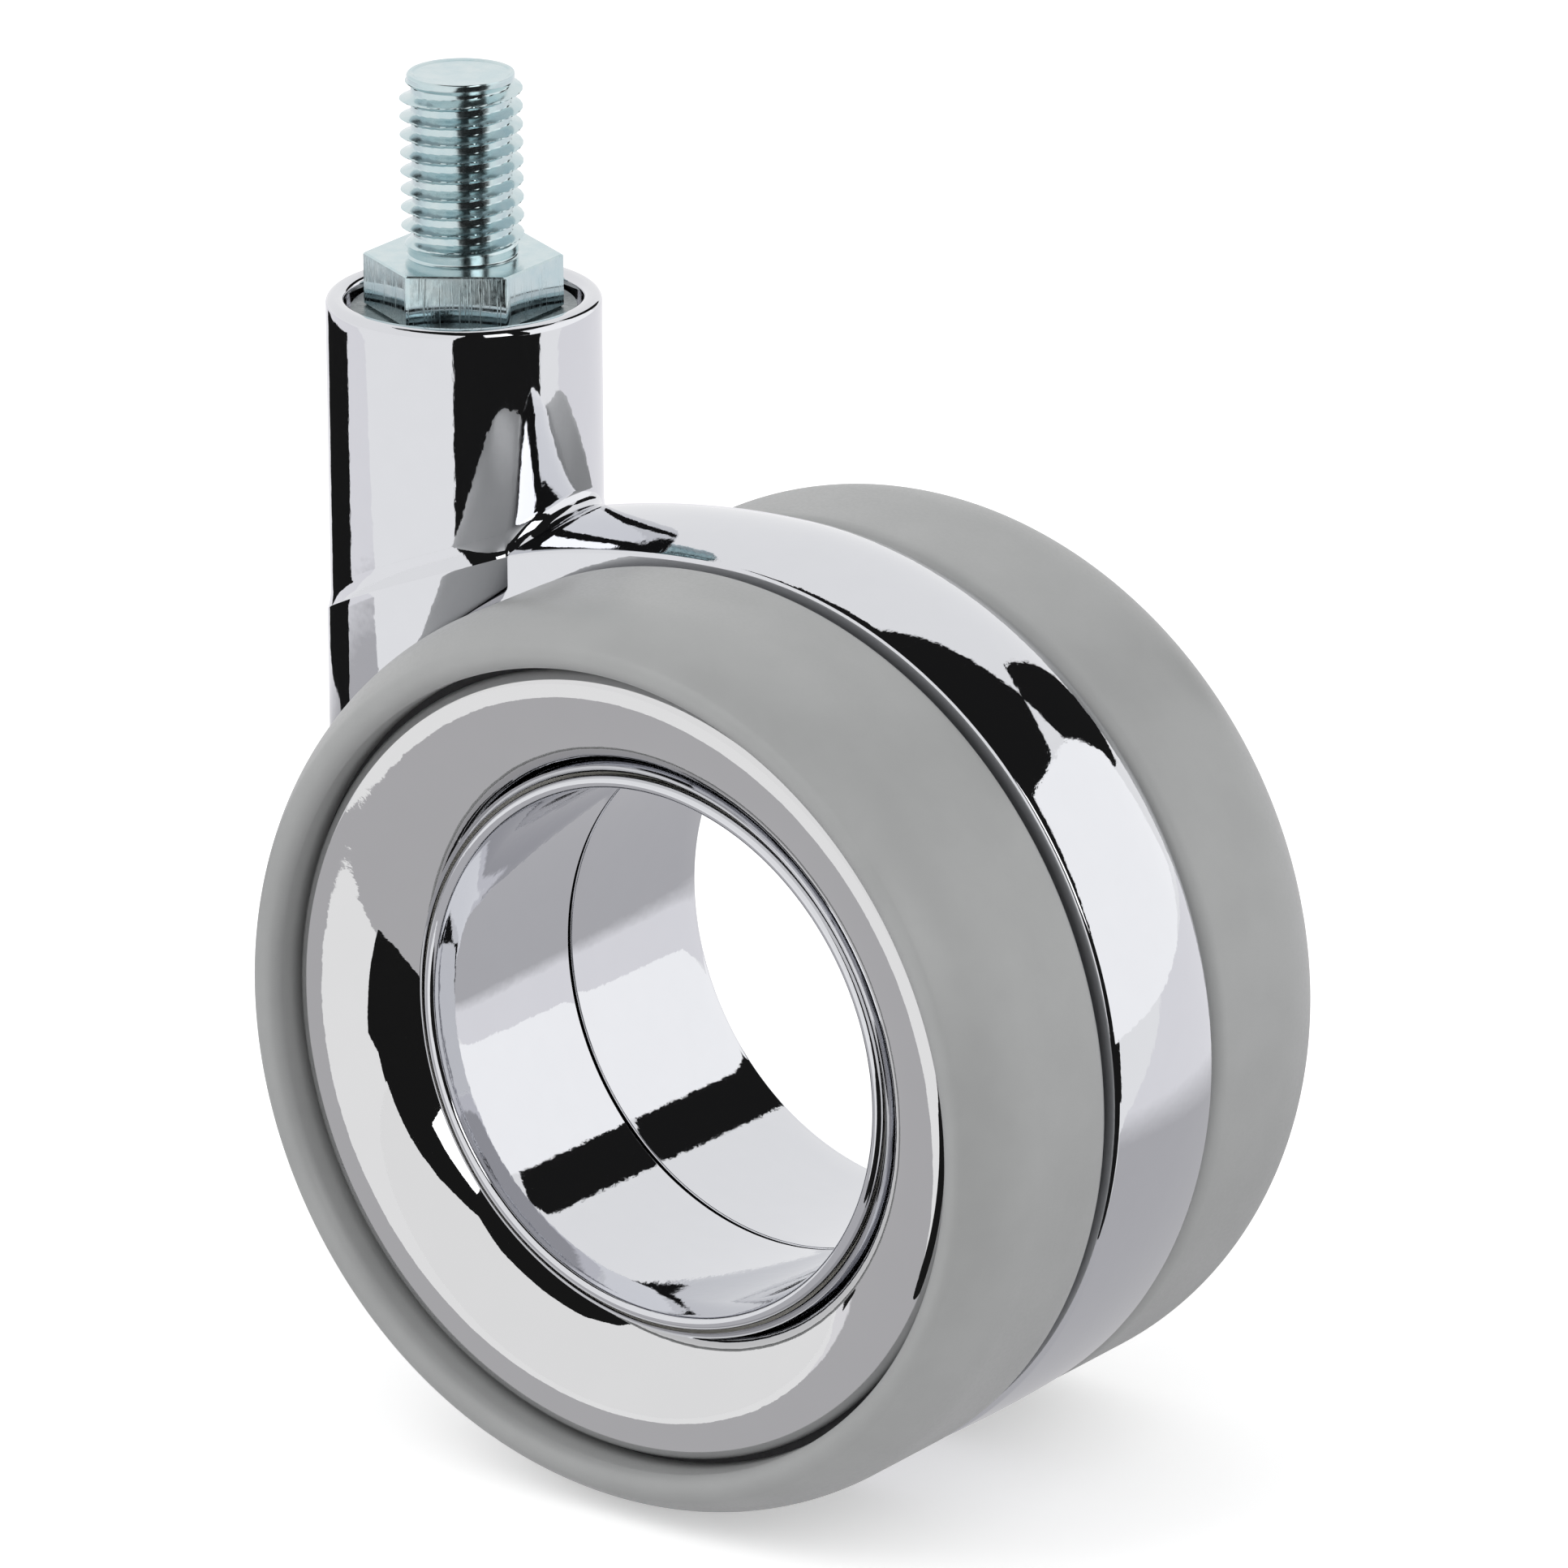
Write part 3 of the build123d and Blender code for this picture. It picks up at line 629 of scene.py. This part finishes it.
def columnGrids():
    # left half, each grid with the way that it faces: the pocket's round as a ball rolling between both
    # cylinders, wall between the shoulder line and the pocket, pocket wall, ledge, heel and wing end
    startX = np.sqrt(ballR**2 - hs["pocketStart"] ** 2)
    firstTurn = np.pi - np.arccos((axleX - startX) / ballTurn)
    lastTurn = np.pi + np.arcsin((axleZ - wingZ) / ballTurn)
    theta = np.linspace(firstTurn, lastTurn, 241)
    x, z = axleX + ballTurn * np.cos(theta), axleZ + ballTurn * np.sin(theta)
    y = -np.sqrt(ballR**2 - x**2)
    ball = np.stack([x, y, z], 1)
    outward = np.stack([x, y, 0 * x], 1) / ballR
    inward = np.stack([-np.cos(theta), 0 * x, -np.sin(theta)], 1)
    roundGrid = ballArc(ball, outward, inward, hs["pocketRound"], 13)
    contact = roundGrid[:, -1]
    deep = np.linspace(0, 1, 9)[None, :, None]
    pocketEnd = contact * [1, 0, 1] + [0, -hs["pocketEdge"], 0]
    pocketGrid = contact[:, None] * (1 - deep) + pocketEnd[:, None] * deep
    edgePhi = np.arctan2(-roundGrid[:, 0, 1], roundGrid[:, 0, 0])
    edgeZ = roundGrid[:, 0, 2]
    gamma = np.linspace(np.pi + np.arcsin((footZ + heelR - wingZ) / heelR), np.pi, 61)
    heelX, heelZ = footX + heelR * np.cos(gamma), footZ + heelR + heelR * np.sin(gamma)
    heelPhi = np.arccos(np.clip(heelX / hs["column"], -1, 1))
    above = edgeZ > np.interp(hs["column"] * np.cos(edgePhi), heelX[::-1], heelZ[::-1])
    last = np.nonzero(above)[0][-1]
    onHeel = heelZ > edgeZ[last]
    lowPhi = np.concatenate([edgePhi[:last + 1], heelPhi[onHeel]])
    lowZ = np.concatenate([edgeZ[:last + 1], heelZ[onHeel]])
    topPhi = np.maximum.accumulate(edgePhi[:last + 1]) + np.linspace(0, hs["ledgeFan"], last + 1) * rad
    topPhi = np.concatenate([topPhi, np.linspace(topPhi[-1], np.pi, np.sum(onHeel) + 1)[1:]])
    r1, r2, lr = hs["tube"] - hs["tubeLap"], hs["column"] - hs["ledgeRound"], hs["ledgeRound"]
    topX = r2 * np.cos(topPhi)
    topZ = ledgeHeight(topX)
    v = np.linspace(0, 1, 17)[None, :]
    phi = topPhi[:, None] * (1 - v) + lowPhi[:, None] * v
    zz = (topZ - lr)[:, None] * (1 - v) + lowZ[:, None] * v
    wallGrid = onColumn(phi, hs["column"], zz)
    ledge = [onColumn(topPhi, r1, topZ)]
    for b in np.linspace(90, 0, 7) * rad:
        ledge.append(onColumn(topPhi, r2 + lr * np.cos(b), topZ - lr + lr * np.sin(b)))
    ledgeGrid = np.stack(ledge, 1)
    limit = np.sqrt(np.clip(hs["column"] ** 2 - heelX**2, 0, None))[:, None]
    heelY = limit * np.linspace(-1, 0, 17)[None, :]
    heelGrid = np.stack([heelX[:, None] + 0 * heelY, heelY, heelZ[:, None] + 0 * heelY], -1)
    endY = np.linspace(-limit[0, 0], -hs["pocketEdge"], pocketGrid.shape[1])
    endStart = np.stack([heelX[0] + 0 * endY, endY, wingZ + 0 * endY], 1)
    endGrid = np.stack([endStart, pocketGrid[-1] * [1, 1, 0] + [0, 0, wingZ]])
    return [
        (wallGrid, (-1, -1, 0)), (roundGrid, (0, -1, 0)), (pocketGrid, (1, 0, 0)), (ledgeGrid, (0, 0, 1)),
        (heelGrid, (-1, 0, -1)), (endGrid, (0, 0, -1)),
    ]


def tubeGrid():  # rounded rim, outer wall down to just under the ledge, mouth down to the washer
    q, r1, r2, top = hs["rimRound"], hs["mouth"], hs["tube"], hs["tubeTop"]
    rim = joined(
        run((r1, top - hs["mouthDepth"]), (r1, top - q), 9),
        arc((r1 + q, top - q), q, 180, 90, 13),
        arc((r2 - q, top - q), q, 90, 0, 13),
    )
    a = np.linspace(0, 2 * np.pi, 360, endpoint=False)[:, None]
    down = np.linspace(0, 1, 25)[None, 1:]
    r = np.concatenate([rim[:, 0], np.full(down.shape[1], r2)])[None, :]
    low = ledgeHeight(r2 * np.cos(a)) - hs["tubeSink"]
    z = np.concatenate([rim[:, 1][None, :] + 0 * a, (top - q) * (1 - down) + low * down], 1)
    return np.stack([r * np.cos(a), r * np.sin(a), z], -1)


def junctionGrid():
    # over the ring a ball rolls between the tube and the ring's top; towards the back the wall widens to the
    # column by the square of the way down, and both shapes mix between
    phi = np.linspace(-np.pi, np.pi, 481)
    turned = np.abs(np.sin(phi)) * hs["tube"] / hs["ringHalf"]
    behind = np.clip((turned - hs["blendFrom"]) / (1 - hs["blendFrom"]), 0, 1)
    behind = np.where(np.cos(phi) < 0, 1, behind)
    behind = (behind * behind * (3 - 2 * behind))[:, None, None]
    radius = hs["junction"]
    x, y = (hs["tube"] + radius) * np.cos(phi), (hs["tube"] + radius) * np.sin(phi)
    fx, fy = x, y
    for _ in range(25):  # the ball's touching point on the ring's top, step by step
        inside = np.clip(1 - (fy / hs["ringHalf"]) ** 2, 0, 1) * (np.cos(phi) > 0)
        slopeX = -(fx - axleX) / np.sqrt(hs["topArc"] ** 2 - (fx - axleX) ** 2)
        slopeY = np.where(inside > 0, -2 * hs["crown"] * fy / hs["ringHalf"] ** 2, 0)
        size = np.sqrt(1 + slopeX**2 + slopeY**2)
        fx, fy = x + radius * slopeX / size, y + radius * slopeY / size
    floorHeight = ledgeHeight(fx) + hs["crown"] * inside
    normal = np.stack([-slopeX, -slopeY, 1 + 0 * size], 1) / size[:, None]
    centre = np.stack([x, y, floorHeight + radius * normal[:, 2]], 1)
    wallSide = np.stack([-np.cos(phi), -np.sin(phi), 0 * phi], 1)
    rolled = ballArc(centre, wallSide, -normal, radius, 25)
    down = np.linspace(0, 1, 25)[None, :]
    coveR = hs["tube"] + (hs["column"] - hs["tube"]) * down**2
    coveX, coveY = coveR * np.cos(phi)[:, None], coveR * np.sin(phi)[:, None]
    baseX, baseY = hs["column"] * np.cos(phi), hs["column"] * np.sin(phi)
    onRing = (np.abs(baseY) < hs["ringHalf"]) & (baseX > 0)
    onCrown = hs["crown"] * (1 - (baseY / hs["ringHalf"]) ** 2)
    base = ledgeHeight(baseX) + np.where(onRing, onCrown, -hs["ledgeRound"])
    coveZ = base[:, None] + hs["coveHeight"] * (1 - down)
    return rolled * (1 - behind) + np.stack([coveX, coveY, coveZ], -1) * behind


def facing(grid, away):  # turns a grid over where its middle looks the wrong way
    i, j = grid.shape[0] // 2, grid.shape[1] // 2
    i, j = min(i, grid.shape[0] - 2), min(j, grid.shape[1] - 2)
    normal = np.cross(grid[i + 1, j] - grid[i, j], grid[i, j + 1] - grid[i, j])
    return grid if normal @ np.array(away, float) > 0 else grid[:, ::-1]


housingGrids = [(facing(ringGrid(), (1, 0, 0)), True, True)]
housingGrids.append((facing(tubeGrid(), (-1, 0, 0)), True, False))
housingGrids.append((facing(junctionGrid(), (1, 0, 1)), False, False))
for grid, away in columnGrids():
    housingGrids.append((facing(grid, away), False, False))
    housingGrids.append((facing(grid * [1, -1, 1], np.array(away) * [1, -1, 1]), False, False))
addPiece("castHousing", housingGrids, chromePlate, "swivel", ["housing"], sharp=28)

print("housing made")

# The pieces that stay as they come from the frame get the finish of their slot
finishes = {
    "zinc_plated_steel": zincPlate, "bearing_steel": groundSteel, "slide_plastic": acetal,
    "core_plastic": filledNylon,
}
for row in frame["record"]["subparts"]:
    if row["node"] not in replacedNodes:
        node = frame["nodes"][row["node"]]
        node.data.materials.clear()
        # the disc in the column's mouth gets zinc whose colour is darkened with painted shade
        finish = shadedMouthZinc if row["node"] == "dust_washer" else finishes[row["material_slot"]]
        node.data.materials.append(finish)

print("finishes given")

# Floor, world, lamps and the reflecting cards round the object
stageLook = {
    "floorReach": 2500.0,  # mm from the origin to each side
    "floorColour": "#F4F4F4", "floorRoughness": 0.8, "floorGlow": 0.3, "worldLevel": 0.74,
}


def seenDirectly(owner, low, high):
    # the low value is for light on the object, the high one for what camera and mirrors see
    path = addNode(owner, "ShaderNodeLightPath")
    seen = addNode(
        owner, "ShaderNodeMath", {"operation": "MAXIMUM"},
        {0: path.outputs["Is Camera Ray"], 1: path.outputs["Is Glossy Ray"]},
    )
    seen = addNode(
        owner, "ShaderNodeMath", {"operation": "MAXIMUM"},
        {0: seen.outputs["Value"], 1: path.outputs["Is Transmission Ray"]},
    )
    return addNode(
        owner, "ShaderNodeMapRange", {"To Min": low, "To Max": high}, {"Value": seen.outputs["Value"]},
    ).outputs["Result"]


def addCard(name, corners, material):  # flat many-sided card from its corners in mm
    mesh = bpy.data.meshes.new(name)
    mesh.from_pydata([tuple(v * mm for v in c) for c in corners], [], [tuple(range(len(corners)))])
    mesh.materials.append(material)
    card = bpy.data.objects.new(name, mesh)
    bpy.context.scene.collection.objects.link(card)
    return card


floorPaint, shader = newMaterial("paleFloor")
shader.inputs["Base Color"].default_value = linear(stageLook["floorColour"])
shader.inputs["Roughness"].default_value = stageLook["floorRoughness"]
shader.inputs["Emission Color"].default_value = grey(1.0)
glow = seenDirectly(floorPaint, 0.0, stageLook["floorGlow"])
floorPaint.node_tree.links.new(glow, shader.inputs["Emission Strength"])
far = stageLook["floorReach"]
addCard(
    "floor", [(-far, -far, floorZ), (far, -far, floorZ), (far, far, floorZ), (-far, far, floorZ)], floorPaint,
)

world = bpy.data.worlds.new("studio")
bpy.context.scene.world = world
world.use_nodes = True
background = world.node_tree.nodes["Background"]
background.inputs["Color"].default_value = grey(1.0)
glow = seenDirectly(world, stageLook["worldLevel"], 1.0)
world.node_tree.links.new(glow, background.inputs["Strength"])

lamps = {  # azimuth and elevation in degrees, distance and size in mm, power in W
    "keyLamp": {"azimuth": -120, "elevation": 48, "distance": 700, "size": 500, "power": 1.4},
    "fillLamp": {"azimuth": 10, "elevation": 45, "distance": 700, "size": 600, "power": 0.9},
}
middle = Vector((20.0, 0.0, -45.0))  # mm, the point from which the directions of lamps and cards count


def seenAt(azimuth, elevation, distance):  # the place that is seen from the middle in that direction
    az, el = azimuth * rad, elevation * rad
    way = Vector((np.cos(az) * np.cos(el), np.sin(az) * np.cos(el), np.sin(el)))
    return middle + float(distance) * way


for name, lamp in lamps.items():
    data = bpy.data.lights.new(name, "AREA")
    data.energy, data.size = lamp["power"], lamp["size"] * mm
    light = bpy.data.objects.new(name, data)
    place = seenAt(lamp["azimuth"], lamp["elevation"], lamp["distance"])
    aim = (place - middle).to_track_quat("Z", "Y").to_matrix().to_4x4()
    light.matrix_world = Matrix.Translation(place * mm) @ aim
    light.visible_glossy = False
    light.visible_camera = False
    bpy.context.scene.collection.objects.link(light)


def cardPaint(name, level):  # a card gives off its own grey, whatever light falls on it
    paint, shader = newMaterial(name)
    shader.inputs["Base Color"].default_value = grey(0.0)
    shader.inputs["Specular IOR Level"].default_value = 0.0
    shader.inputs["Emission Color"].default_value = grey(1.0)
    shader.inputs["Emission Strength"].default_value = level
    return paint


blackCard = cardPaint("blackCard", 0.012)
paleCard = cardPaint("paleCard", 1.04)
whiteCard = cardPaint("whiteCard", 1.2)
softBox = cardPaint("softBox", 2.0)


def onCeiling(height, corners):  # directions carried on to a level plane over the object's middle
    return [seenAt(az, el, height / np.sin(el * rad)) for az, el in corners]


def onWall(front, distance, corners):  # directions carried on to an upright plane across the front's azimuth
    return [seenAt(az, el, distance / np.cos(el * rad) / np.cos((az - front) * rad)) for az, el in corners]


def onFloor(height, corners):  # x and y in mm, a little over the floor
    return [Vector((x, y, floorZ + height)) for x, y in corners]


# The grey sheet under the object carries painted shade for reflections: its glow is dark near the object, standing
# in for the object's shadow on the floor, and turns pale farther out
shadeSheetLook = {
    "middle": (-20.0, -40.0), "near": 160.0, "far": 188.0,  # mm
    "colour": "#FDFCFF", "nearLevel": 0.55, "farLevel": 0.95,
}
shadeSheetPaint = cardPaint("paintedShadeSheet", 1.0)
shader = shadeSheetPaint.node_tree.nodes["Principled BSDF"]
shader.inputs["Emission Color"].default_value = linear(shadeSheetLook["colour"])
coords = addNode(shadeSheetPaint, "ShaderNodeTexCoord")
sheetMiddle = tuple(v * mm for v in (*shadeSheetLook["middle"], floorZ))
reach = addNode(
    shadeSheetPaint, "ShaderNodeVectorMath", {"operation": "DISTANCE", 1: sheetMiddle},
    {0: coords.outputs["Object"]},
)
level = addNode(
    shadeSheetPaint, "ShaderNodeMapRange", {
        "From Min": shadeSheetLook["near"] * mm, "From Max": shadeSheetLook["far"] * mm,
        "To Min": shadeSheetLook["nearLevel"], "To Max": shadeSheetLook["farLevel"],
    },
    {"Value": reach.outputs["Value"]},
)
shadeSheetPaint.node_tree.links.new(level.outputs["Result"], shader.inputs["Emission Strength"])

cards = {  # seen by reflections only, so they shade nothing; directions as azimuth and elevation in degrees
    "whiteWall": (whiteCard, onWall(15, 400, [
        (4, -7), (82, -1.5), (82, 13.0), (60, 33), (15, 44), (4, 43.5),
    ])),
    "blackCeiling": (blackCard, onCeiling(700, [
        (0, 89.9), (60, 46), (40, 42.5), (15, 43), (-12, 43), (-50, 43), (-66, 50), (-90, 58), (-120, 60),
        (-150, 60), (180, 59),
    ])),
    "blackStrip": (blackCard, onWall(75, 1500, [
        (60, 47), (75, 44), (90, 25), (100, 8), (100, 3), (90, 6), (75, 15), (60, 25),
    ])),
    "blackRight": (blackCard, onWall(-28, 600, [
        (-61, -9), (3.8, -9), (3.8, 47), (-12, 48), (-50, 48), (-54, 30), (-59, 10),
    ])),
    "softBox": (softBox, onWall(-24, 450, [(-36, 16), (-12, 14), (-12, 43), (-30, 44), (-35, 43)])),
    "paleSheet": (paleCard, onFloor(0.1, [
        (-1200, -1200), (1200, -1200), (1200, 1200), (-1200, 1200),
    ])),
    # painted shade: this sheet glows less near the object, where its shadow would lie on the floor
    "paintedShadeSheet": (shadeSheetPaint, onFloor(0.2, [
        (-230, -190), (-150, -158), (-77, -135), (43, -74), (88, -37), (700, 700), (-700, 700), (-700, -190),
    ])),
    "blackSheetFront": (blackCard, onFloor(0.4, [
        (35, -75), (80, -38), (120, -10), (180, 36), (640, 170), (650, -250), (365, -640), (206, -365),
        (110, -200), (60, -150), (48, -110),
    ])),
    "blackSheetBack": (blackCard, onFloor(0.4, [
        (-165, 85), (-175, 20), (-165, -45), (-300, -85), (-320, 20), (-300, 150),
    ])),
}
for name, (paint, corners) in cards.items():
    card = addCard(name, [tuple(corner) for corner in corners], paint)
    card.visible_camera = card.visible_diffuse = card.visible_shadow = False

cameraPlace = {  # mm and degrees; the azimuth counts from -Y, and the lens and the sensor are in mm
    "target": (20.0, 0.0, -40.0), "azimuth": 37.65, "elevation": 19.1, "roll": -0.464, "distance": 839.5,
    "lens": 240.3, "sensor": 36.0, "shiftX": 0.0758, "shiftY": -0.0069, "nearest": 10.0,
}
az, el, roll = (cameraPlace[k] * rad for k in ("azimuth", "elevation", "roll"))
back = Vector((np.sin(az) * np.cos(el), -np.cos(az) * np.cos(el), np.sin(el)))
right = Vector((np.cos(az), np.sin(az), 0))
up = back.cross(right)
cameraRight = right * np.cos(roll) + up * np.sin(roll)
cameraUp = up * np.cos(roll) - right * np.sin(roll)
cameraData = bpy.data.cameras.new("camera")
cameraData.lens = cameraPlace["lens"]
cameraData.sensor_width = cameraPlace["sensor"]
cameraData.shift_x = cameraPlace["shiftX"]
cameraData.shift_y = cameraPlace["shiftY"]
cameraData.clip_start = cameraPlace["nearest"] * mm
camera = bpy.data.objects.new("camera", cameraData)
place = (Vector(cameraPlace["target"]) + back * cameraPlace["distance"]) * mm
turn = Matrix((cameraRight, cameraUp, back)).transposed().to_4x4()
camera.matrix_world = Matrix.Translation(place) @ turn
bpy.context.scene.collection.objects.link(camera)
bpy.context.scene.camera = camera

view = bpy.context.scene.view_settings
view.view_transform = "Standard"

print("stage made")
